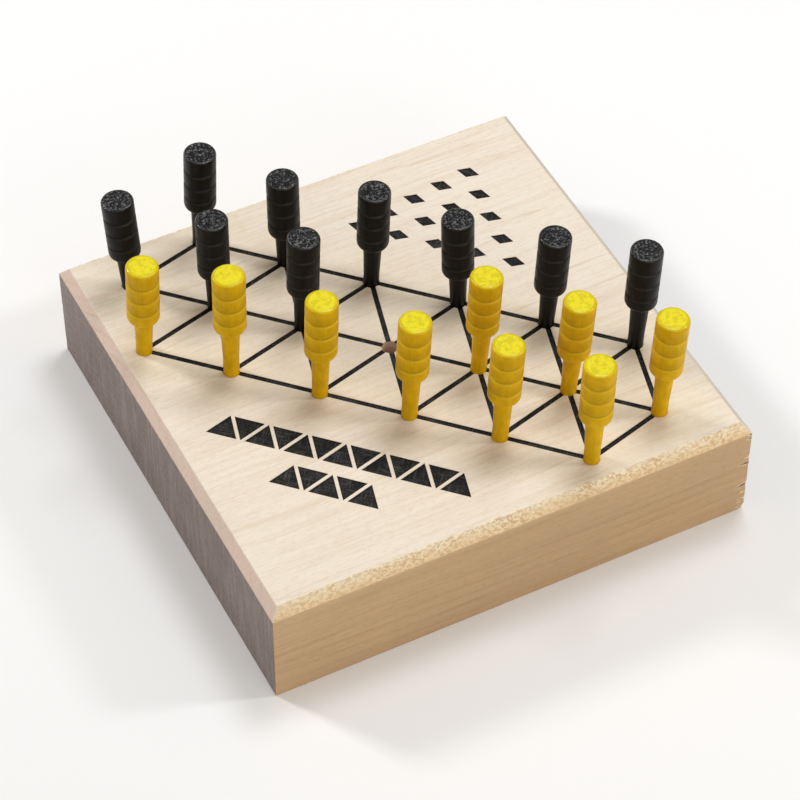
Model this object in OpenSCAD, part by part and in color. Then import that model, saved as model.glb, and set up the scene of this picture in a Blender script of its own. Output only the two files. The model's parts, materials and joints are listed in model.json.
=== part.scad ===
// Two-player peg jumping game: a thick, nearly square hardwood board with nineteen blind
// holes on a triangular lattice, nine black pegs, nine yellow pegs and the middle hole free.
//
// +Z is up and the origin is the middle of the board's underside. +X runs with the grain,
// from the front corner to the right-hand corner, and +Y runs from the front corner to the
// left-hand corner. The three rows of holes lie along the diagonal from left to right.

/* [Board] */
// Length of the board, with the grain
board_x = 150; // [148:1:170]
// Width of the board, across the grain
board_y = 147; // [145:1:170]
// Thickness of the board
board_z = 35.6; // [24:0.1:45]
// How far each top edge's chamfer cuts in from the side
chamfer_in = 2.6; // [1:0.1:4]
// How far each top edge's chamfer drops down the side
chamfer_down = 3.2; // [1:0.1:5]

/* [Playing field] */
// Distance between neighbouring holes
pitch = 26.7; // [24:0.1:27]
// How far the field sits towards the left-hand edge, along X
field_shift = -2.5; // [-3:0.1:3]
// Diameter of the peg holes
hole_d = 4.76; // [4:0.01:6]
// Depth of the peg holes
hole_deep = 12.7; // [12:0.1:20]
// Width of the burnt lines between the holes
line_w = 1.45; // [0.8:0.05:2]
// Depth of the burnt lines and ornaments
burn_deep = 0.4; // [0.2:0.05:0.8]

/* [Ornaments] */
// Side of each burnt triangle in the front corner's two bands
tri_side = 9; // [6:0.5:9]
// Length of each burnt lozenge in the back corner
lozenge_l = 7; // [4:0.5:9]

/* [Pegs] */
// Overall length of a peg
peg_l = 45.5; // [41:0.1:50]
// Diameter of a peg's head
head_d = 9.52; // [8:0.01:12]
// Length of the head, down to the neck
head_l = 21.5; // [20:0.1:24]
// Diameter of the stem where it leaves the head
neck_d = 5.5; // [5:0.1:6]
// Clearance all round between a stem and its hole
stem_gap = 0.05; // [0.02:0.01:0.1]
// Number of V-grooves round the head
grip_rings = 3; // [1:1:3]
// Depth of the V-grooves
grip_deep = 0.5; // [0.2:0.05:0.8]
// Rounding of a black peg's top edge
black_round = 0.7; // [0.3:0.1:1.5]
// Rounding of a yellow peg's top edge
yellow_round = 0.9; // [0.3:0.1:1.5]

/* [Hidden] */
$fn = 64;
EPS = 1;               // overrun that carries a cut clear of a face
ROW = 1 / sqrt(2);     // the rows run at 45 degrees to the sides
along = [ROW, -ROW];   // unit vector along a row, from left to right
across = [ROW, ROW];   // unit vector across the rows, towards the back corner
row_gap = pitch * sin(60);

// Holes of each colour, as [row, place]: row -1 is the front row, 0 the middle and 1 the back,
// and places count from the left.
black_holes = concat([for (i = [0:5]) [1, i]], [for (i = [0:2]) [0, i]]);
yellow_holes = concat([for (i = [4:6]) [0, i]], [for (i = [0:5]) [-1, i]]);
free_hole = [[0, 3]];
// How deep each peg was pushed in by hand, in the order of the two lists above
black_seat = [8.7, 11.6, 8.1, 11.6, 9.6, 6.9, 11.3, 10.3, 9];
yellow_seat = [7.5, 8.7, 7, 10.5, 5.9, 7.4, 6.8, 7.3, 6.8];
// How many degrees each of those holes was drilled off square, leaning along its row
black_lean = [2.5, 0, 2, -1, 2.5, 2, -3, 0.5, 2];
yellow_lean = [2.5, 3, 2.5, 2.5, 1, 2, 2.5, 2.5, 1];

tri_gap = 1.25;        // from one burnt triangle to the next, along the band
band_far = 43;         // from the middle row to the longer band of triangles
band_near = 55;        // from the middle row to the shorter band, nearer the front corner
tiers = 5;             // tiers in the pyramid of lozenges
tier_first = 44;       // from the middle row to the first tier
tier_step = 8;         // between tiers
tier_pitch = 12;       // between neighbours in a tier
lozenge_slim = 0.6;    // width of a lozenge over its length

stem_r = hole_d / 2 - stem_gap;
head_r = head_d / 2;
neck_r = neck_d / 2;
straight_l = max(concat(black_seat, yellow_seat)) + 0.2;   // stem below its taper
tip_bevel = 0.5;       // bevel round the bottom end of a stem
shoulder_r = 1.8;      // rounding under the head
ring_first = 5.6;      // from the top of the head down to the first V-groove
ring_step = 5.3;       // between V-grooves
ring_above = 0.3;      // height of a V-groove's steep upper side
ring_below = 0.75;     // height of its sloping lower side

function places(row) = row == 0 ? 7 : 6;
// Middle of a hole on the board's top, in X and Y
function hole_at(h) = [field_shift, 0] + (h[1] - (places(h[0]) - 1) / 2) * pitch * along
                      + h[0] * row_gap * across;
// Points of an arc, from angle a to angle b
function arc(c, r, a, b, n = 6) =
    [for (k = [0:n], t = a + (b - a) * k / n) c + r * [cos(t), sin(t)]];

// Carries its children from the origin to a hole's mouth, leaning as the hole does
module at_hole(h, lean) {
    translate([for (v = hole_at(h)) v, board_z])
        rotate(a = lean, v = [across[0], across[1], 0]) children();
}

// Straight burnt line between two points
module line(a, b) {
    d = b - a;
    translate(a) rotate(atan2(d[1], d[0])) translate([0, -line_w / 2]) square([norm(d), line_w]);
}

// Lines along the three rows, and the slanting ones between neighbouring holes
module field_lines() {
    for (row = [-1:1]) line(hole_at([row, 0]), hole_at([row, places(row) - 1]));
    for (side = [-1, 1], i = [0:5]) {
        line(hole_at([side, i]), hole_at([0, i]));
        line(hole_at([side, i]), hole_at([0, i + 1]));
    }
}

// Band of triangles, pointing up and down in turn, centred at a distance along and across
module triangle_band(count, w) {
    tri_h = tri_side * sin(60);
    step = tri_side / 2 + tri_gap;
    for (k = [0:count - 1])
        translate([field_shift, 0] + (k - (count - 1) / 2) * step * along + w * across)
            rotate(-45 + 90 * (1 - 2 * (k % 2)))
                translate([-tri_h / 2, 0]) polygon([[0, -tri_side / 2], [tri_h, 0], [0, tri_side / 2]]);
}

// Pyramid of lozenges that narrows towards the back corner
module lozenge_pyramid() {
    half = lozenge_l / 2;
    for (tier = [0:tiers - 1], k = [0:tiers - 1 - tier])
        translate([field_shift, 0] + (k - (tiers - 1 - tier) / 2) * tier_pitch * along
                  + (tier_first + tier * tier_step) * across)
            rotate(-45) polygon([[-half, 0], [0, -half * lozenge_slim], [half, 0], [0, half * lozenge_slim]]);
}

// Block with a chamfer on its four top edges, from the outlines of its two elevations
module chamfered_block(x, y, z) {
    intersection() {
        rotate([90, 0, 0]) linear_extrude(y, center = true) elevation(x, z);
        rotate([90, 0, 90]) linear_extrude(x, center = true) elevation(y, z);
    }
}

module elevation(w, z) {
    s = w / 2;
    polygon([[-s, 0], [s, 0], [s, z - chamfer_down], [s - chamfer_in, z],
             [chamfer_in - s, z], [-s, z - chamfer_down]]);
}

module drilled(holes, leans) {
    for (i = [0:len(holes) - 1])
        at_hole(holes[i], leans[i]) translate([0, 0, -hole_deep]) cylinder(d = hole_d, h = hole_deep + EPS);
}

module board() {
    color("BurlyWood") difference() {
        chamfered_block(board_x, board_y, board_z);
        translate([0, 0, board_z - burn_deep]) linear_extrude(burn_deep + EPS) {
            field_lines();
            triangle_band(13, -band_far);
            triangle_band(5, -band_near);
            lozenge_pyramid();
        }
        drilled(black_holes, black_lean);
        drilled(yellow_holes, yellow_lean);
        drilled(free_hole, [0]);
    }
}

// Half outline of a turned peg, from the tip of the stem up to the crown of the head
function peg_outline(top_round) = concat(
    [[0, 0], [stem_r - tip_bevel, 0], [stem_r, tip_bevel], [stem_r, straight_l], [neck_r, peg_l - head_l]],
    arc([head_r - shoulder_r, peg_l - head_l + shoulder_r], shoulder_r, -70, 0),
    [for (k = [grip_rings - 1:-1:0], p = [[0, -ring_below], [grip_deep, 0], [0, ring_above]])
        [head_r - p[0], peg_l - ring_first - k * ring_step + p[1]]],
    arc([head_r - top_round, peg_l - top_round], top_round, 0, 90),
    [[0, peg_l]]);

// Peg pushed a given depth into its hole
module peg(hole, lean, seat, top_round) {
    at_hole(hole, lean) translate([0, 0, -seat]) rotate_extrude() polygon(peg_outline(top_round));
}

module black_peg(i) {
    color("#1c1a19") peg(black_holes[i], black_lean[i], black_seat[i], black_round);
}

module yellow_peg(i) {
    color("#dcb420") peg(yellow_holes[i], yellow_lean[i], yellow_seat[i], yellow_round);
}

board();
for (i = [0:8]) black_peg(i);
for (i = [0:8]) yellow_peg(i);
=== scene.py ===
"""Looks of the peg jumping game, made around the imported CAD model. All lengths are in metres.

The board and the pegs are built here as finished pieces that stand for their CAD nodes: the board as
one solid with worn edges, a torn long-grain chamfer and burnt-in lines, each peg as a turned and
painted stick at the seat and lean that its CAD node has.
"""

import json
import math

import bmesh
import bpy
from mathutils import Matrix, Vector, noise
from mathutils.geometry import delaunay_2d_cdt


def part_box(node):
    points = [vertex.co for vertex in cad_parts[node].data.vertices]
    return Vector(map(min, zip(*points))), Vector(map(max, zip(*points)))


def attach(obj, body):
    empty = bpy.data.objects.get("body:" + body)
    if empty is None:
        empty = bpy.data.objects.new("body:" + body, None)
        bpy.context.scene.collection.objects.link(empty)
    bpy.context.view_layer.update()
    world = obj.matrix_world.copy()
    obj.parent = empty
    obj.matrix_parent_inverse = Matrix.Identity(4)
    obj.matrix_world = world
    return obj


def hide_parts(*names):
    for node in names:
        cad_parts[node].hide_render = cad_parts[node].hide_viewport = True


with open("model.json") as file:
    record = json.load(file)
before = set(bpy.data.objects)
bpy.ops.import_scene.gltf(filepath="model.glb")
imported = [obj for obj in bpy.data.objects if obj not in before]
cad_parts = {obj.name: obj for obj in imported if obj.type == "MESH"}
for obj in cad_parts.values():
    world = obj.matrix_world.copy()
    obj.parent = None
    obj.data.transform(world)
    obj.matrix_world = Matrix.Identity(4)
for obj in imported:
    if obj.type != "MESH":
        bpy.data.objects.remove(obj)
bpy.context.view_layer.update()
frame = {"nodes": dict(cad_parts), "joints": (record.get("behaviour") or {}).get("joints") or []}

MM = 0.001

# Board, as packed
HALF_X, HALF_Y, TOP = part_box("board")[1]
CHAMFER_IN = 2.6 * MM
CHAMFER_DOWN = 3.2 * MM
EDGE_ROUND = 0.25 * MM     # worn rounding of the board's edges and upright corners
RIGHT_CORNER = Vector((HALF_X, -HALF_Y, 0))

# Playing field
PITCH = 26.7 * MM
ROW_GAP = PITCH * math.sin(math.pi / 3)
FIELD_MIDDLE = Vector((-2.5 * MM, 0))
ALONG = Vector((1, -1)).normalized()
ACROSS = Vector((1, 1)).normalized()
PLACES = {-1: 6, 0: 7, 1: 6}
HOLE_R = 2.38 * MM
HOLE_DEEP = 12.7 * MM
LINE_HALF = 0.725 * MM     # half the width of a burnt line
BURN_DEEP = 0.4 * MM
BURN_SLOPE = 0.12 * MM     # width of the sloping side of a burn
EDGE_SOFT = 0.1 * MM       # rounding of the wood round burns and holes
FACE_STEP = 1.0 * MM       # between points along a burn's edges
SCORCH_AND_BOUNCE_REACH = 20 * MM       # how far from a hole the wood's colour is warmed, partly as scorch and partly as painted warm bounce light from the pegs

# Ornaments
TRI_SIDE = 9 * MM
TRI_GAP = 1.25 * MM
BANDS = ((13, 43 * MM), (5, 55 * MM))    # triangles in a band, and its distance from the middle row
TIERS = 5
TIER_FIRST = 44 * MM
TIER_STEP = 8 * MM
TIER_PITCH = 12 * MM
LOZENGE_HALF = 3.5 * MM
LOZENGE_SLIM = 0.6

# Peg, from the tip of its stem upwards
PEG_L = 45.5 * MM
HEAD_R = 4.76 * MM
HEAD_L = 21.5 * MM
NECK = PEG_L - HEAD_L
NECK_R = 2.75 * MM
SHOULDER_R = 1.8 * MM
STEM_R = 2.33 * MM
TIP_R = 0.5 * MM
STRAIGHT_L = 11.8 * MM
BLACK_ROUND = 0.7 * MM
YELLOW_ROUND = 0.9 * MM
GROOVES = [PEG_L - (5.6 + 5.3 * ring) * MM for ring in (2, 1, 0)]
CROWN_RINGS = 16     # rings of points across the flat top
AROUND = 72          # points round a peg

# Studio
CAMERA_FAR = 0.928
LAMP_FAR = 1.1


# ---------------------------------------------------------------- camera, light and floor

def make_camera():
    """Camera at the height and side from which the board's front and left edges both show."""
    azimuth, elevation = math.radians(26.98), math.radians(47.98)
    aim = Vector((-2.0, -5.4, 17.8)) * MM
    ahead = Vector((math.sin(azimuth) * math.cos(elevation), math.cos(azimuth) * math.cos(elevation),
                    -math.sin(elevation)))
    data = bpy.data.cameras.new("camera")
    data.lens = 143.5
    data.clip_start = 0.05
    camera = bpy.data.objects.new("camera", data)
    camera.location = aim - ahead * CAMERA_FAR
    camera.rotation_euler = ahead.to_track_quat("-Z", "Y").to_euler()
    bpy.context.scene.collection.objects.link(camera)
    bpy.context.scene.camera = camera


def softbox(name, towards, size, power, colour=(1, 1, 1)):
    """Square studio lamp in the direction `towards` from the board, aimed back at it."""
    data = bpy.data.lights.new(name, "AREA")
    data.size = size
    data.energy = power
    data.color = colour
    lamp = bpy.data.objects.new(name, data)
    direction = Vector(towards).normalized()
    lamp.location = direction * LAMP_FAR
    lamp.rotation_euler = direction.to_track_quat("Z", "Y").to_euler()
    bpy.context.scene.collection.objects.link(lamp)


def make_studio():
    world = bpy.data.worlds.new("studio")
    world.use_nodes = True
    background = world.node_tree.nodes["Background"]
    background.inputs["Color"].default_value = (1.0, 0.95, 0.89, 1)
    background.inputs["Strength"].default_value = 0.38
    bpy.context.scene.world = world
    bpy.context.scene.view_settings.view_transform = "Standard"

    softbox("key", (0.26, 0.16, 0.95), 0.34, 3.6, (0.97, 1.0, 1.03))
    softbox("rim_left", (-0.52, 0.64, 0.66), 0.16, 4.0)
    softbox("rim_right", (0.71, -0.33, 0.61), 0.14, 2.4)
    softbox("fill_front", (0.10, -0.90, 0.42), 0.80, 2.2, (1.0, 0.97, 0.92))

    bpy.ops.mesh.primitive_plane_add(size=6)
    floor = bpy.context.object
    floor.name = "floor"
    g = Graph("floor_paper")
    g.set("Base Color", (0.95, 0.95, 0.95, 1))
    g.set("Roughness", 0.9)
    floor.data.materials.append(g.material)


# ---------------------------------------------------------------- materials

class Graph:
    """Short calls that build a material's nodes; each returns an output socket."""

    def __init__(self, name):
        self.material = bpy.data.materials.new(name)
        self.material.use_nodes = True
        self.tree = self.material.node_tree
        self.shader = self.tree.nodes["Principled BSDF"]
        place = self.tree.nodes.new("ShaderNodeTexCoord")
        self.place = place.outputs["Object"]
        self.facing = place.outputs["Normal"]

    def put(self, socket, value):
        if isinstance(value, bpy.types.NodeSocket):
            self.tree.links.new(value, socket)
        else:
            socket.default_value = value

    def set(self, name, value):
        self.put(self.shader.inputs[name], value)

    def stretch(self, scale, turn=0.0):
        """The place on the piece, turned about Z and then scaled along each axis, in repeats a metre."""
        turned = self.tree.nodes.new("ShaderNodeVectorRotate")
        turned.rotation_type = "Z_AXIS"
        self.put(turned.inputs["Vector"], self.place)
        turned.inputs["Angle"].default_value = turn
        node = self.tree.nodes.new("ShaderNodeMapping")
        self.put(node.inputs["Vector"], turned.outputs["Vector"])
        node.inputs["Scale"].default_value = scale
        return node.outputs["Vector"]

    def noise(self, vector, scale=1.0, detail=2.0, roughness=0.5, distortion=0.0):
        node = self.tree.nodes.new("ShaderNodeTexNoise")
        self.put(node.inputs["Vector"], vector)
        for name, value in (("Scale", scale), ("Detail", detail), ("Roughness", roughness),
                            ("Distortion", distortion)):
            node.inputs[name].default_value = value
        return node.outputs["Fac"]

    def cells(self, vector, scale=1.0):
        node = self.tree.nodes.new("ShaderNodeTexVoronoi")
        self.put(node.inputs["Vector"], vector)
        node.inputs["Scale"].default_value = scale
        return node.outputs["Distance"]

    def math(self, operation, a, b=0.0, clamp=False):
        node = self.tree.nodes.new("ShaderNodeMath")
        node.operation = operation
        node.use_clamp = clamp
        self.put(node.inputs[0], a)
        self.put(node.inputs[1], b)
        return node.outputs["Value"]

    def product(self, *values):
        found = values[0]
        for value in values[1:]:
            found = self.math("MULTIPLY", found, value)
        return found

    def split(self, vector):
        node = self.tree.nodes.new("ShaderNodeSeparateXYZ")
        self.put(node.inputs["Vector"], vector)
        return node.outputs

    def ramp(self, value, low, high, to_low=0.0, to_high=1.0):
        """Maps low..high of a value smoothly to to_low..to_high."""
        node = self.tree.nodes.new("ShaderNodeMapRange")
        node.interpolation_type = "SMOOTHSTEP"
        for name, v in (("Value", value), ("From Min", low), ("From Max", high), ("To Min", to_low),
                        ("To Max", to_high)):
            self.put(node.inputs[name], v)
        return node.outputs["Result"]

    def mix(self, share, a, b, blend="MIX"):
        node = self.tree.nodes.new("ShaderNodeMix")
        node.data_type = "RGBA"
        node.blend_type = blend
        self.put(node.inputs["Factor"], share)
        self.put(node.inputs["A"], colour(a))
        self.put(node.inputs["B"], colour(b))
        return node.outputs["Result"]

    def attribute(self, name):
        node = self.tree.nodes.new("ShaderNodeAttribute")
        node.attribute_name = name
        return node.outputs["Fac"]

    def bump(self, height, distance, strength=1.0, under=None):
        node = self.tree.nodes.new("ShaderNodeBump")
        self.put(node.inputs["Height"], height)
        node.inputs["Distance"].default_value = distance
        node.inputs["Strength"].default_value = strength
        if under is not None:
            self.put(node.inputs["Normal"], under)
        return node.outputs["Normal"]


def colour(value):
    """A colour as four numbers; sockets pass through."""
    if isinstance(value, tuple) and len(value) == 3:
        return (*value, 1.0)
    return value


def growth_rings(g, y, z):
    """Dark late wood of each ring. The rings are cylinders about a pith far below the board. They wander
    a little along it, and some are stronger than others."""
    pith_y, pith_z, ring_width, wandering = 0.012, -0.085, 0.0031, 0.008
    wander = g.noise(g.stretch((8, 24, 24)), 1.0, 3.0, 0.5)
    far_y = g.math("SUBTRACT", y, pith_y)
    far_z = g.math("SUBTRACT", z, pith_z)
    radius = g.math("SQRT", g.math("ADD", g.product(far_y, far_y), g.product(far_z, far_z)))
    ring = g.math("DIVIDE", g.math("ADD", radius, g.product(wander, wandering)), ring_width)
    late = g.math("FRACT", ring)
    strength = g.ramp(g.noise(g.stretch((5, 90, 90)), 1.0, 1.0), 0.35, 0.7, 0.15, 1.0)
    return g.product(g.ramp(late, 0.62, 0.94), g.ramp(late, 1.0, 0.95), strength)


def thin_lines(g):
    """Fine dark lines where the cut crosses a ring at a low angle, strong in some places and lost in
    others."""
    contour = g.noise(g.stretch((6, 150, 150)), 1.0, 2.0, 0.5)
    thin = g.ramp(g.math("PINGPONG", contour, 0.07), 0.0, 0.012, 1.0, 0.0)
    return g.product(thin, g.ramp(g.noise(g.stretch((14, 70, 70)), 1.0, 2.0), 0.42, 0.66))


def torn_fibres(g, z, base, normal):
    """Pale fuzz with darker pits, in short streaks, over a colour and a normal."""
    torn = g.attribute("torn")
    flecks = g.noise(g.stretch((760, 1250, 1250), 0.15), 1.0, 4.0, 0.72, 0.5)
    patches = g.noise(g.stretch((110, 120, 120)), 1.0, 2.0)
    rise = g.ramp(g.math("ADD", z, g.product(patches, 0.002)), TOP - CHAMFER_DOWN, TOP + 0.001)
    fuzz = g.mix(rise, (0.86, 0.61, 0.33), (0.97, 0.85, 0.62))
    pits = g.product(g.ramp(flecks, 0.42, 0.60), g.ramp(patches, 0.30, 0.60, 0.50, 0.90))
    fuzz = g.mix(pits, fuzz, (0.67, 0.42, 0.19))
    return g.mix(torn, base, fuzz), g.bump(g.product(flecks, torn), 0.00022, 0.8, normal)


def corner_cracks(g, x, y, facing_z, base, normal):
    """Dark cracks with pale lips that run in from the right-hand upright corner, over a colour and a
    normal."""
    reach = 4.5 * MM
    from_end, from_front = g.math("SUBTRACT", RIGHT_CORNER.x, x), g.math("SUBTRACT", y, RIGHT_CORNER.y)
    from_corner = g.math("ADD", from_end, from_front)
    by_corner = g.product(g.ramp(from_corner, 0.001, reach, 1.0, 0.0), g.ramp(facing_z, 0.5, 0.2))
    crack = g.math("ADD", g.noise(g.stretch((90, 90, 620)), 1.0, 1.0), g.product(by_corner, 0.12))
    base = g.mix(g.product(g.ramp(crack, 0.68, 0.72), by_corner), base, (0.90, 0.74, 0.52))
    base = g.mix(g.product(g.ramp(crack, 0.73, 0.76), by_corner), base, (0.16, 0.085, 0.035))
    return base, g.bump(g.product(g.ramp(crack, 0.70, 0.76), by_corner), 0.0004, -1.0, normal)


def wood():
    """Pale flat-sawn hardwood with its grain along X: rings that run as lines on the long faces and as
    arcs on the end grain. The `torn` attribute is 1 where the cutter tore fibres out, and
    `scorch_and_bounce` is 1 where the colour is warmed, partly as scorch and partly as painted warm bounce
    light from the pegs."""
    g = Graph("board_wood")
    x, y, z = g.split(g.place)
    facing_x, _, facing_z = g.split(g.facing)
    end = g.ramp(g.math("ABSOLUTE", facing_x), 0.60, 0.90)
    long_grain = g.math("SUBTRACT", 1.0, end)
    upward = g.ramp(facing_z, 0.3, 0.8)

    late_wood = growth_rings(g, y, z)
    thin = g.product(thin_lines(g), long_grain)
    fibre = g.noise(g.stretch((60, 2300, 2300)), 1.0, 4.0, 0.62)
    speck = g.noise(g.stretch((520, 1500, 1500)), 1.0, 3.0, 0.6)
    strand = g.noise(g.stretch((30, 700, 700)), 1.0, 3.0, 0.55)
    blotch = g.noise(g.stretch((26, 50, 50)), 1.0, 3.0, 0.5)
    pore = g.ramp(g.noise(g.stretch((380, 3600, 3600)), 1.0, 2.0), 0.60, 0.70)

    # one colour for each way that a face can look, partly the wood's own tone and partly painted light and
    # shade: upward faces paler, upright faces darker, upright end grain darkest
    top = g.mix(g.ramp(blotch, 0.3, 0.7), (0.875, 0.800, 0.675), (0.865, 0.775, 0.660))
    # warmer among the holes: partly scorch, partly painted warm bounce light from the pegs
    top = g.mix(g.attribute("scorch_and_bounce"), top, (1.0, 0.97, 0.90), "MULTIPLY")
    side = g.mix(g.ramp(blotch, 0.3, 0.7), (0.600, 0.405, 0.221), (0.561, 0.372, 0.202))
    cut = g.mix(g.ramp(blotch, 0.3, 0.7), (0.252, 0.196, 0.176), (0.212, 0.164, 0.149))
    cut_up = g.mix(g.ramp(blotch, 0.35, 0.65), (0.93, 0.665, 0.560), (0.88, 0.680, 0.570))
    # painted shade: the end-grain chamfer that faces right is painted a duller grey-green
    cut_up = g.mix(g.ramp(facing_x, 0.2, 0.4), cut_up, (0.62, 0.61, 0.50))
    base = g.mix(upward, g.mix(end, side, cut), g.mix(end, top, cut_up))
    dark = g.mix(upward, g.mix(end, (0.40, 0.250, 0.125), (0.140, 0.105, 0.092)),
                 g.mix(end, (0.66, 0.485, 0.325), (0.74, 0.53, 0.43)))

    # the grain's dark lines over it
    for share in (g.product(late_wood, g.ramp(end, 0.0, 1.0, 0.24, 0.55)),
                  g.product(thin, g.ramp(upward, 0.0, 1.0, 0.70, 0.48)),
                  g.product(g.ramp(strand, 0.42, 0.72), 0.20),
                  g.product(g.ramp(fibre, 0.45, 0.75), 0.26),
                  g.product(g.ramp(speck, 0.50, 0.66), g.ramp(upward, 0.0, 1.0, 0.26, 0.20)),
                  g.product(pore, long_grain, 0.30)):
        base = g.mix(share, base, dark)

    # saw marks and open pores on the end grain
    sawn = g.noise(g.stretch((300, 1100, 55)), 1.0, 3.0, 0.62)
    open_pore = g.cells(g.stretch((1500, 1500, 1500)))
    mark = g.mix(upward, (0.40, 0.325, 0.29), (0.90, 0.72, 0.61))
    base = g.mix(g.product(g.ramp(sawn, 0.46, 0.66), end, 0.42), base, mark)
    long_relief = g.math("ADD", g.product(fibre, 0.7), g.product(late_wood, 0.4))
    end_relief = g.product(g.math("ADD", g.product(sawn, 1.5), open_pore), end)
    normal = g.bump(long_relief, 0.00005, 0.5)
    normal = g.bump(end_relief, 0.00012, 0.5, normal)

    base, normal = torn_fibres(g, z, base, normal)
    base, normal = corner_cracks(g, x, y, facing_z, base, normal)
    g.set("Base Color", base)
    g.set("Roughness", g.ramp(strand, 0.2, 0.8, 0.50, 0.66))
    g.set("Normal", normal)
    g.set("Specular IOR Level", 0.30)
    return g.material


def burnt():
    """Charred wood at the bottom of the burnt lines, with a grey sheen in fine crossing scratches."""
    g = Graph("burnt_wood")
    speck = g.noise(g.stretch((1900, 1900, 900)), 1.0, 4.0, 0.7)
    hatch = g.noise(g.stretch((180, 2300, 900), 0.7), 1.0, 2.0)
    counter = g.noise(g.stretch((180, 2300, 900), -0.9), 1.0, 2.0)
    patch = g.noise(g.stretch((160, 160, 160)), 1.0, 2.0)
    base = g.mix(g.ramp(patch, 0.35, 0.7), (0.0045, 0.0040, 0.0035), (0.011, 0.010, 0.009))
    scratch = g.math("MAXIMUM", g.ramp(hatch, 0.54, 0.68), g.ramp(counter, 0.54, 0.68))
    sheen = g.math("ADD", g.ramp(speck, 0.50, 0.66), scratch, clamp=True)
    sheen = g.product(sheen, g.ramp(patch, 0.3, 0.6, 0.4, 1.0), 0.8)
    base = g.mix(sheen, base, (0.066, 0.068, 0.066))
    g.set("Base Color", base)
    g.set("Roughness", g.ramp(speck, 0.3, 0.7, 0.55, 0.8))
    g.set("Normal", g.bump(g.math("ADD", speck, scratch), 0.00010, 0.6))
    g.set("Specular IOR Level", 0.2)
    return g.material


def drilled():
    """Brown wall of a drilled hole, scorched and rubbed by the stems."""
    g = Graph("drilled_wood")
    spiral = g.noise(g.stretch((300, 300, 2600)), 1.0, 3.0, 0.6)
    rub = g.noise(g.stretch((500, 500, 160)), 1.0, 2.0)
    base = g.mix(g.ramp(spiral, 0.35, 0.65), (0.78, 0.61, 0.49), (0.66, 0.50, 0.40))
    g.set("Base Color", g.mix(g.product(g.ramp(rub, 0.5, 0.7), 0.4), base, (0.76, 0.62, 0.50)))
    g.set("Roughness", 0.7)
    g.set("Normal", g.bump(spiral, 0.00008, 0.6))
    return g.material


def paint(name, shade, lip_highlight, rim, crown, mottle, pit_size, pit_share, gloss, level, fibres, uneven, rough):
    """Brushed paint over turned wood: the fibres print through the sides, and the end grain makes the
    crown uneven; on the black paint the crown's pale specks are painted glints. Of a peg's attributes,
    `crown` is 1 on its flat top and 0.5 on the rounded rim, `groove` is 1 in the upper side of its grooves,
    which is darkened as painted shade, and `lip_highlight` on their lower side, which is brightened as a
    painted highlight. The rim is glossier than the sides."""
    g = Graph(name)
    top = g.attribute("crown")
    on_rim = (top, 0.0, 0.3)
    on_crown = (top, 0.5, 1.0)
    fibre = g.noise(g.stretch((1500, 1500, 60)), 1.0, 3.0, 0.6)
    turned = g.noise(g.stretch((60, 60, 2400)), 1.0, 2.0, 0.6)
    coat = g.noise(g.stretch((420, 420, 300)), 1.0, 3.0, 0.5)
    pits = g.noise(g.stretch((pit_size, pit_size, pit_size)), 1.0, 4.0, 0.6, 0.4)

    body = g.mix(g.ramp(coat, 0.3, 0.7), shade, scaled(shade, 0.84))
    body = g.mix(g.product(g.ramp(fibre, 0.48, 0.72), 0.32 * fibres), body, scaled(shade, 0.62))
    # painted highlight: brighter paint on the lower side of each groove
    body = g.mix(g.product(g.attribute("lip_highlight"), g.ramp(coat, 0.3, 0.7, 0.6, 1.0)), body, lip_highlight)
    # painted shade in the grooves
    body = g.mix(g.product(g.attribute("groove"), 0.85), body, scaled(shade, 0.26))
    edge = g.mix(g.ramp(coat, 0.35, 0.65), rim, scaled(rim, 0.88))
    body = g.mix(g.ramp(top, 0.0, 0.5), body, edge)
    # crown mottling; on the black paint its pale grey specks are painted glints
    crown_mottle_and_glints = g.mix(g.ramp(pits, pit_share, pit_share + 0.16), scaled(crown, mottle), crown)
    g.set("Base Color", g.mix(g.ramp(*on_crown), body, crown_mottle_and_glints))

    relief = g.math("ADD", g.product(fibre, 0.5 * fibres), g.product(turned, 0.3))
    normal = g.bump(relief, 0.00004, 0.4)
    normal = g.bump(coat, uneven, 0.5, normal)
    g.set("Normal", g.bump(g.product(pits, top), rough, 0.9, normal))

    g.set("Roughness", g.math("ADD", g.ramp(coat, 0.25, 0.75, 0.0, 0.08), g.ramp(*on_rim, 0.36, gloss)))
    # painted shade: less specular in the grooves
    groove_shade = g.ramp(g.attribute("groove"), 0.0, 1.0, 1.0, 0.1)
    sheen = g.product(g.ramp(*on_rim, 0.3 * level, level), g.ramp(*on_crown, 1.0, 0.4), groove_shade)
    g.set("Specular IOR Level", sheen)
    return g.material


def scaled(shade, by):
    return tuple(by * c for c in shade)


# ---------------------------------------------------------------- board

WOOD, BURNT, DRILLED = range(3)    # the board's material slots


def hole_at(row, place):
    """Middle of a hole on the playing face; row -1 is the front row, and places count from the left."""
    return FIELD_MIDDLE + ALONG * (place - (PLACES[row] - 1) / 2) * PITCH + ACROSS * row * ROW_GAP


HOLES = [hole_at(row, place) for row in (-1, 0, 1) for place in range(PLACES[row])]
RIM_POINTS = 64    # round each hole


def field_lines():
    """Pairs of neighbouring holes, each joined by a burnt line."""
    pairs = [(hole_at(row, i), hole_at(row, i + 1)) for row in (-1, 0, 1) for i in range(PLACES[row] - 1)]
    for side in (-1, 1):
        for i in range(6):
            pairs += [(hole_at(side, i), hole_at(0, i)), (hole_at(side, i), hole_at(0, i + 1))]
    return pairs


LINES = field_lines()


def ornament(middle, corners):
    """Convex burnt shape from its corners, given along and across the rows and put in order
    counter-clockwise in XY."""
    points = [middle + ALONG * a + ACROSS * b for a, b in corners]
    area = sum(p.cross(q) for p, q in zip(points, points[1:] + points[:1]))
    return points if area > 0 else points[::-1]


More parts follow.
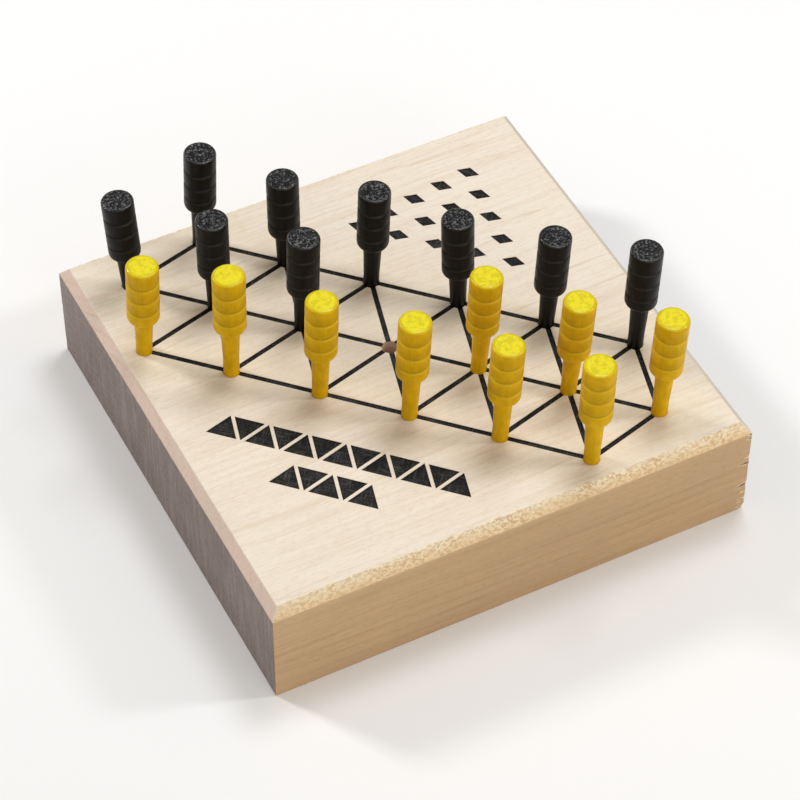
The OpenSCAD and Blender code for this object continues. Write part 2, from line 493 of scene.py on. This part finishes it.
def ornaments():
    """Two bands of triangles near the front corner, and a pyramid of lozenges near the back one."""
    shapes = []
    half, half_tall = TRI_SIDE / 2, TRI_SIDE / 2 * math.sin(math.pi / 3)
    for count, far in BANDS:
        for k in range(count):
            along = (k - (count - 1) / 2) * (TRI_SIDE / 2 + TRI_GAP)
            base = -half_tall if k % 2 == 0 else half_tall
            middle = FIELD_MIDDLE + ALONG * along - ACROSS * far
            shapes.append(ornament(middle, [(-half, base), (half, base), (0, -base)]))
    slim = LOZENGE_HALF * LOZENGE_SLIM
    for tier in range(TIERS):
        for k in range(TIERS - tier):
            along = (k - (TIERS - 1 - tier) / 2) * TIER_PITCH
            middle = FIELD_MIDDLE + ALONG * along + ACROSS * (TIER_FIRST + tier * TIER_STEP)
            shapes.append(ornament(middle, [(-LOZENGE_HALF, 0), (0, -slim), (LOZENGE_HALF, 0), (0, slim)]))
    return shapes


ORNAMENTS = ornaments()


def off_line(p, a, b):
    """Distance from a point to the segment between a and b."""
    t = max(0.0, min(1.0, (p - a).dot(b - a) / (b - a).length_squared))
    return (p - a - (b - a) * t).length


def inside(p, shape):
    """How far a point lies inside a convex shape; negative outside it."""
    return min((b - a).orthogonal().normalized().dot(p - a) for a, b in zip(shape, shape[1:] + shape[:1]))


def burn_inside(p):
    """How far a point lies inside the nearest burnt line or ornament: negative outside them, and -1 mm
    where none is near."""
    lines = [LINE_HALF - off_line(p, a, b) for a, b in LINES if (a - p).length < PITCH + LINE_HALF + MM]
    shapes = [inside(p, shape) for shape in ORNAMENTS if (shape[0] - p).length < 2 * TRI_SIDE]
    return max(lines + shapes + [-MM])


def past_rim(p):
    """Distance from a point to the rim of the nearest hole; negative inside it."""
    return min((p - hole).length for hole in HOLES) - HOLE_R


def face_height(p):
    """Height of the playing face at a point: flat, with soft edges down into the burns and holes."""
    depth = burn_inside(p)
    if depth > 0:
        drop = EDGE_SOFT + min(1.0, depth / BURN_SLOPE) * (BURN_DEEP - EDGE_SOFT)
    else:
        drop = max(0.0, EDGE_SOFT + depth)
    rim = max(0.0, EDGE_SOFT - past_rim(p))
    return TOP - max(drop, min(rim, EDGE_SOFT))


def grown(shape, by):
    """Convex shape with each side moved out by a distance."""
    sides = []
    for a, b in zip(shape, shape[1:] + shape[:1]):
        out = -(b - a).orthogonal().normalized()
        sides.append((a + out * by, (b - a).normalized()))
    corners = []
    for (p, d), (q, e) in zip(sides[-1:] + sides[:-1], sides):
        corners.append(p + d * ((q - p).cross(e) / d.cross(e)))
    return corners


def chain(points, closed, step):
    """Points along a polyline about `step` apart, with its corners kept."""
    ends = points[1:] + points[:1] if closed else points[1:]
    found = []
    for a, b in zip(points, ends):
        n = max(1, round((b - a).length / step))
        found += [a.lerp(b, k / n) for k in range(n)]
    return found if closed else found + [points[-1]]


def playing_face(rim):
    """Triangles of the playing face inside the closed loop of points `rim`, as (vertices, faces)."""
    points, edges = [], []

    def add(chained, closed):
        first = len(points)
        points.extend(chained)
        n = len(chained)
        edges.extend((first + k, first + (k + 1) % n) for k in range(n if closed else n - 1))

    add(rim, True)
    levels = (-EDGE_SOFT, 0.0, BURN_SLOPE)    # how far inside a burn's edge its section bends
    for a, b in LINES:
        out = (b - a).orthogonal().normalized()
        for level in levels:
            for side in (-1, 1):
                shift = out * side * (LINE_HALF - level)
                add(chain([a + shift, b + shift], False, FACE_STEP), False)
        add(chain([a, b], False, FACE_STEP), False)
    for shape in ORNAMENTS:
        for level in (*levels, FACE_STEP):
            add(chain(grown(shape, -level), True, FACE_STEP), True)
    turns = [k * math.tau / RIM_POINTS for k in range(RIM_POINTS)]
    for hole in HOLES:
        for r in (HOLE_R, HOLE_R + EDGE_SOFT):
            add([hole + Vector((math.cos(t), math.sin(t))) * r for t in turns], True)
    step, reach, clear = 2.2 * MM, 31, 0.6 * MM
    for i in range(-reach, reach + 1):
        for j in range(-reach, reach + 1):
            p = Vector(((i + 0.5 * (j % 2)) * step, j * step))
            if burn_inside(p) < -clear and past_rim(p) > clear:
                points.append(p)
    inner_triangles, merge = 1, 1e-7
    verts, _, faces, *_ = delaunay_2d_cdt(points, edges, [], inner_triangles, merge)
    return verts, faces


def loop_round(hole, verts):
    """Numbers of the vertices on a hole's rim, in order round it."""
    sag = 0.004 * MM    # of a rim's chord, on which a burnt line's edge may put a vertex
    on_rim = [i for i, v in enumerate(verts) if abs((v - hole).length - HOLE_R) < sag]
    return sorted(on_rim, key=lambda i: math.atan2(*(verts[i] - hole).yx))


def rounded(corners, radii, steps=4):
    """Polyline with each inner corner rounded."""
    found = [corners[0]]
    for a, b, c, r in zip(corners, corners[1:], corners[2:], radii):
        u, v = (a - b).normalized(), (c - b).normalized()
        half = u.angle(v) / 2
        reach = r / math.tan(half)
        start, stop = b + u * reach, b + v * reach
        middle = b + (u + v).normalized() * r / math.sin(half)
        sweep = (start - middle).angle(stop - middle)
        for k in range(steps + 1):
            t = k / steps
            turned = (start - middle) * math.sin((1 - t) * sweep) + (stop - middle) * math.sin(t * sweep)
            found.append(middle + turned / math.sin(sweep))
    return found + [corners[-1]]


def board_section():
    """Edge section of the board from underneath to the playing face, as (inset, height) points."""
    corners = [(1.5 * MM, 0), (0, 0), (0, TOP - CHAMFER_DOWN), (CHAMFER_IN, TOP),
               (CHAMFER_IN + 0.6 * MM, TOP)]
    line = rounded([Vector(corner) for corner in corners], [EDGE_ROUND, 0.8 * EDGE_ROUND, EDGE_ROUND])
    return [q for a, b in zip(line, line[1:]) for q in between(a, b)] + [line[-1]]


def between(a, b):
    """Points from a up to b: close together on the chamfer, further apart on the tall side."""
    on_side = max(a.x, b.x) < 0.01 * MM
    step = 2.0 * MM if on_side else 0.4 * MM
    n = max(1, round((b - a).length / step))
    return [a.lerp(b, k / n) for k in range(n)]


def heading(degrees):
    return Vector((math.cos(math.radians(degrees)), math.sin(math.radians(degrees))))


def outline(inset):
    """Closed loop round the board at an inset, as (point, outward direction), with the same number of
    points at any inset."""
    spacing, corner_steps = 0.4 * MM, 3
    x, y = HALF_X - inset - EDGE_ROUND, HALF_Y - inset - EDGE_ROUND
    counts = [round(2 * half / spacing) for half in (HALF_Y, HALF_X, HALF_Y, HALF_X)]
    corners = [(Vector((x, -y)), -90), (Vector((x, y)), 0), (Vector((-x, y)), 90), (Vector((-x, -y)), 180)]
    loop = []
    for count, (centre, first), (next_centre, turn) in zip(counts, corners, corners[1:] + corners[:1]):
        for s in range(corner_steps + 1):
            out = heading(first + 90 * s / corner_steps)
            loop.append((centre + out * EDGE_ROUND, out))
        start, stop = loop[-1][0], next_centre + heading(turn) * EDGE_ROUND
        loop += [(start.lerp(stop, s / count), out) for s in range(1, count)]
    return loop


def torn_share(p):
    """1 where the long-grain chamfers are torn, 0 elsewhere, with a ragged border."""
    from_side, from_end = HALF_Y - abs(p.y), HALF_X - abs(p.x)
    ragged = 0.5 * MM * noise.noise(p * 520)
    inner = (CHAMFER_IN + 0.3 * MM + ragged - from_side) / (0.35 * MM)
    outer = (p.z - TOP + CHAMFER_DOWN + 0.15 * MM) / (0.3 * MM)
    mitre = (from_end - from_side) / (0.3 * MM)
    return max(0.0, min(1.0, inner, outer, mitre))


def splinter(p):
    """How much of a splinter is missing near an upright corner: from 0 up to about 1, most of it on the
    right and some of it in front."""
    from_corner = Vector((HALF_X - abs(p.x), HALF_Y - abs(p.y))).length
    missing = max(0.0, noise.noise(Vector((p.x * 30, p.y * 30, p.z * 330))) - 0.2)
    in_front = p.y < 0
    most = 1.53 if in_front and p.x > 0 else 0.85 if in_front else 0.272
    return missing * most * math.exp(-(from_corner / (0.9 * MM)) ** 2)


def scorch_and_bounce_share(p):
    """About 1 among the holes, where the wood's colour is warmed, partly as scorch and partly as painted
    warm bounce light from the pegs, and 0 past the field.
    """
    from_hole = past_rim(p) + HOLE_R
    unevenness = 0.85 + 0.4 * noise.noise(Vector((p.x, p.y, 0)) * 60)
    return smooth((SCORCH_AND_BOUNCE_REACH - from_hole) / (0.5 * SCORCH_AND_BOUNCE_REACH)) * unevenness


def wear(p):
    """How far the surface at a point near the board's edge is worn or torn inwards."""
    worn_deep, torn_deep, splinter_deep = 0.015 * MM, 0.15 * MM, 0.9 * MM
    flecks = noise.noise(Vector((p.x * 900, p.y * 380, p.z * 380))) + 0.5 * noise.noise(p * 1700)
    patches = noise.noise(Vector((p.x * 60, 3, p.z * 60)))
    worn = worn_deep * (1 + noise.noise(p * 90))
    torn = torn_deep * torn_share(p) * max(0.0, flecks + 0.15 + 0.3 * patches)
    return worn + torn + splinter_deep * splinter(p)


def chipped_corner(p):
    """Bruised bottom corner on the right: points there move in behind a slanting plane."""
    slant = Vector((1, -0.7, -1)).normalized()
    past_plane = (p - RIGHT_CORNER).dot(slant) + 0.9 * MM
    return p - slant * max(0.0, past_plane)


def side_rings(bm):
    """Rings of vertices up the board's sides, over the chamfers and onto the playing face, with faces
    between them and one underneath."""
    torn_layer = bm.verts.layers.float["torn"]
    section = board_section()
    last = len(section) - 1
    rings = []
    for k, q in enumerate(section):
        slope = (section[min(k + 1, last)] - section[max(k - 1, 0)]).normalized()
        ring = []
        for point, out in outline(q.x):
            p = Vector((point.x, point.y, q.y))
            torn = max(torn_share(p), min(1.0, 1.6 * splinter(p)))
            if 0 < k < last:
                p -= Vector((out.x * slope.y, out.y * slope.y, slope.x)) * wear(p)
            v = bm.verts.new(chipped_corner(p))
            v[torn_layer] = torn
            ring.append(v)
        rings.append(ring)
    for low, high in zip(rings, rings[1:]):
        for i in range(len(low)):
            j = (i + 1) % len(low)
            bm.faces.new((low[i], low[j], high[j], high[i]))
    bm.faces.new(rings[0][::-1])
    return rings


def make_board():
    """The block as one closed mesh: worn sides, chamfers, burnt playing face and drilled holes."""
    bm = bmesh.new()
    bm.verts.layers.float.new("torn")
    bm.verts.layers.float.new("scorch_and_bounce")
    scorch_and_bounce_layer = bm.verts.layers.float["scorch_and_bounce"]
    rim = [v.co.xy for v in side_rings(bm)[-1]]

    verts, faces = playing_face(rim)
    raised = [bm.verts.new((v.x, v.y, face_height(v))) for v in verts]
    for v, place in zip(raised, verts):
        v[scorch_and_bounce_layer] = scorch_and_bounce_share(place)
    for corners in faces:
        middle = sum((verts[i] for i in corners), Vector((0, 0))) / len(corners)
        if past_rim(middle) < 0:
            continue
        face = bm.faces.new([raised[i] for i in corners])
        face.material_index = BURNT if burn_inside(middle) > 0 else WOOD
    for hole in HOLES:
        drill(bm, hole, [raised[i] for i in loop_round(hole, verts)])
    bmesh.ops.delete(bm, geom=[v for v in bm.verts if not v.link_faces], context="VERTS")
    bmesh.ops.remove_doubles(bm, verts=bm.verts, dist=0.0005 * MM)
    bmesh.ops.recalc_face_normals(bm, faces=bm.faces)
    board = finish_piece("board_block", bm, [wood(), burnt(), drilled()], 32)
    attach(board, "board")
    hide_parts("board")


def drill(bm, hole, above):
    """Wall and floor of a hole, below the rim that the playing face has."""
    lean = LEANS.get(peg_in(hole), Vector((0, 0, 1)))
    mouth = [v.co.xy for v in above]
    n = len(above)
    for deep in (0.6 * MM, 3 * MM, 6 * MM, 9 * MM, HOLE_DEEP):
        slip = -lean.xy / lean.z * deep
        below = [bm.verts.new((p.x + slip.x, p.y + slip.y, TOP - deep)) for p in mouth]
        for k in range(n):
            j = (k + 1) % n
            bm.faces.new((above[k], above[j], below[j], below[k])).material_index = DRILLED
        above = below
    bm.faces.new(above).material_index = DRILLED


def finish_piece(name, bm, materials, sharp_degrees):
    """Object from a bmesh, shaded smooth except across edges sharper than an angle."""
    mesh = bpy.data.meshes.new(name)
    bm.to_mesh(mesh)
    bm.free()
    for material in materials:
        mesh.materials.append(material)
    mesh.shade_smooth()
    mesh.set_sharp_from_angle(angle=math.radians(sharp_degrees))
    piece = bpy.data.objects.new(name, mesh)
    bpy.context.scene.collection.objects.link(piece)
    return piece


# ---------------------------------------------------------------- pegs

def peg_holes():
    """Which hole each peg stands in: black fills the back row and the left of the middle row."""
    black = [(1, i) for i in range(6)] + [(0, i) for i in range(3)]
    yellow = [(0, i) for i in range(4, 7)] + [(-1, i) for i in range(6)]
    named = {f"black_peg_{i + 1}": hole for i, hole in enumerate(black)}
    named.update({f"yellow_peg_{i + 1}": hole for i, hole in enumerate(yellow)})
    return {name: hole_at(*hole) for name, hole in named.items()}


PEG_HOLES = peg_holes()
LEANS = {joint["child"]: Vector(joint["axis"]) for joint in frame["joints"]}    # way out of each hole


def peg_in(hole):
    """Name of the peg that stands in a hole, or None for the free hole."""
    return next((name for name, p in PEG_HOLES.items() if (p - hole).length < MM), None)


def arc(centre, r, first, last, steps):
    angles = [math.radians(first + (last - first) * k / steps) for k in range(steps + 1)]
    return [(centre[0] + r * math.cos(a), centre[1] + r * math.sin(a)) for a in angles]


def peg_outline(top_round):
    """Half outline of a peg from the tip of its stem to the middle of its crown, as (radius, height)."""
    points = [(0, 0), (STEM_R - 1.4 * TIP_R, 0)] + arc((STEM_R - TIP_R, TIP_R), TIP_R, -70, 0, 4)
    points += [(STEM_R, 4 * MM), (STEM_R, 8 * MM), (STEM_R, STRAIGHT_L)]
    for t in (0.15, 0.3, 0.45, 0.6, 0.75, 0.9):
        points.append((STEM_R + (NECK_R - STEM_R) * t, STRAIGHT_L + (NECK - STRAIGHT_L) * t))
    points += arc((NECK_R + 0.3 * MM, NECK - 0.2 * MM), 0.3 * MM, 180, 115, 3)
    points += arc((HEAD_R - SHOULDER_R, NECK + SHOULDER_R), SHOULDER_R, -72, 0, 7)
    for height in GROOVES:
        points += groove(height)
    flat = HEAD_R - top_round
    points += arc((flat, PEG_L - top_round), top_round, 0, 90, 8)
    points += [(flat * (1 - k / CROWN_RINGS), PEG_L) for k in range(1, CROWN_RINGS)]
    return points + [(0, PEG_L)]


def groove(height):
    """V-groove with its bottom at a height: a round upper lip, and a lower side that curves out to the
    bead below."""
    side = [(0, -1.1), (0.03, -0.85), (0.12, -0.62), (0.30, -0.36), (0.52, -0.12), (0.60, 0), (0.56, 0.08)]
    points = [(HEAD_R - deep * MM, height + rise * MM) for deep, rise in side]
    return points + arc((HEAD_R - 0.25 * MM, height + 0.38 * MM), 0.25 * MM, -60, 0, 4)


def closeness(z, offset, reach):
    """1 at the height `offset` above the nearest groove's bottom, falling to 0 at `reach` from there."""
    return max(smooth(1 - abs(z - groove_z - offset) / reach) for groove_z in GROOVES)


def shares_at(r, z, flat, tint_r):
    """The paint's attributes at a point of the outline, on a peg whose crown is flat out to `flat` and
    tinted out to `tint_r`."""
    on_top = z > PEG_L - 2 * MM
    tint = 0.5 * smooth((tint_r - r) / (0.3 * MM)) + 0.5 * smooth((flat + 0.1 * MM - r) / (0.4 * MM))
    return {"crown": tint if on_top else 0.0,
            # painted shade: dark in the upper side of each groove, and fainter over a broader band round it
            "groove": max(closeness(z, 0.16 * MM, 0.34 * MM), 0.35 * closeness(z, 0.3 * MM, 1.8 * MM)),
            # painted highlight on the lower side of each groove
            "lip_highlight": closeness(z, -0.55 * MM, 0.5 * MM)}


def lathe(top_round, seed, crown_rough, tint_r):
    """Bmesh of a peg turned from its half outline, with the small unevenness of a hand-painted stick."""
    bm = bmesh.new()
    layers = {name: bm.verts.layers.float.new(name) for name in ("crown", "groove", "lip_highlight")}
    shift = Vector((0.37, 0.61, 0.83)) * seed
    flat = HEAD_R - top_round
    rings = []
    for r, z in peg_outline(top_round):
        on_head = z > NECK + 2 * MM
        rough = smooth((flat - r) / (0.5 * MM)) if z > PEG_L - 0.01 * MM else 0.0
        shares = shares_at(r, z, flat, tint_r)
        ring = []
        for k in range(AROUND if r > 0 else 1):
            t = math.tau * k / AROUND
            out = Vector((math.cos(t), math.sin(t), 0))
            p = out * r + Vector((0, 0, z))
            if on_head:
                p += out * (0.020 * noise.noise(p * 260 + shift) + 0.018 * noise.noise(p * 70 + shift)) * MM
            if rough > 0:
                pit = noise.fractal(p * 1100 + shift, 0.8, 2.0, 3)
                p.z -= max(0.0, 0.4 + pit) * crown_rough * rough
            v = bm.verts.new(p)
            for name, layer in layers.items():
                v[layer] = shares[name]
            ring.append(v)
        rings.append(ring)
    for low, high in zip(rings, rings[1:]):
        for k in range(AROUND):
            j = (k + 1) % AROUND
            corners = [low[k % len(low)], low[j % len(low)], high[j % len(high)], high[k % len(high)]]
            bm.faces.new(list(dict.fromkeys(corners)))
    bmesh.ops.recalc_face_normals(bm, faces=bm.faces)
    return bm


def smooth(t):
    """Smooth step from 0 to 1 as t goes from 0 to 1."""
    t = max(0.0, min(1.0, t))
    return t * t * (3 - 2 * t)


def make_pegs():
    # for both paints the lip colour is a painted highlight; the black crown's grey specks are painted
    # glints
    black = paint("black_paint", shade=(0.0034, 0.0025, 0.0017), lip_highlight=(0.050, 0.049, 0.047),
                  rim=(0.008, 0.008, 0.009), crown=(0.150, 0.150, 0.155), mottle=0.02, pit_size=1350,
                  pit_share=0.49, gloss=0.13, level=0.55, fibres=0.1, uneven=0.00009, rough=0.00042)
    yellow = paint("yellow_paint", shade=(0.77, 0.450, 0.0005), lip_highlight=(0.94, 0.63, 0.040),
                   rim=(0.74, 0.57, 0.004), crown=(0.84, 0.72, 0.028), mottle=0.82, pit_size=620,
                   pit_share=0.40, gloss=0.13, level=0.30, fibres=1.0, uneven=0.00008, rough=0.00012)
    for seed, (name, hole) in enumerate(PEG_HOLES.items(), 1):
        if name.startswith("black"):
            material = black
            bm = lathe(BLACK_ROUND, seed, 0.10 * MM, HEAD_R)
        else:
            material = yellow
            bm = lathe(YELLOW_ROUND, seed, 0.05 * MM, HEAD_R - 0.06 * MM)
        axis = LEANS[name]
        mouth = Vector((hole.x, hole.y, TOP))
        seat = -min((v.co - mouth).dot(axis) for v in frame["nodes"][name].data.vertices)
        turn = Matrix.Rotation(seed * 2.4, 4, "Z")
        tilt = axis.to_track_quat("Z", "Y").to_matrix().to_4x4()
        placed = Matrix.Translation(mouth - axis * seat) @ tilt @ turn
        bmesh.ops.transform(bm, matrix=placed, verts=bm.verts)
        piece = finish_piece(name.replace("peg", "stick"), bm, [material], 50)
        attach(piece, name)
        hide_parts(name)
        name.split("_")[0] + "_paint"


make_camera()
make_studio()
make_board()
make_pegs()
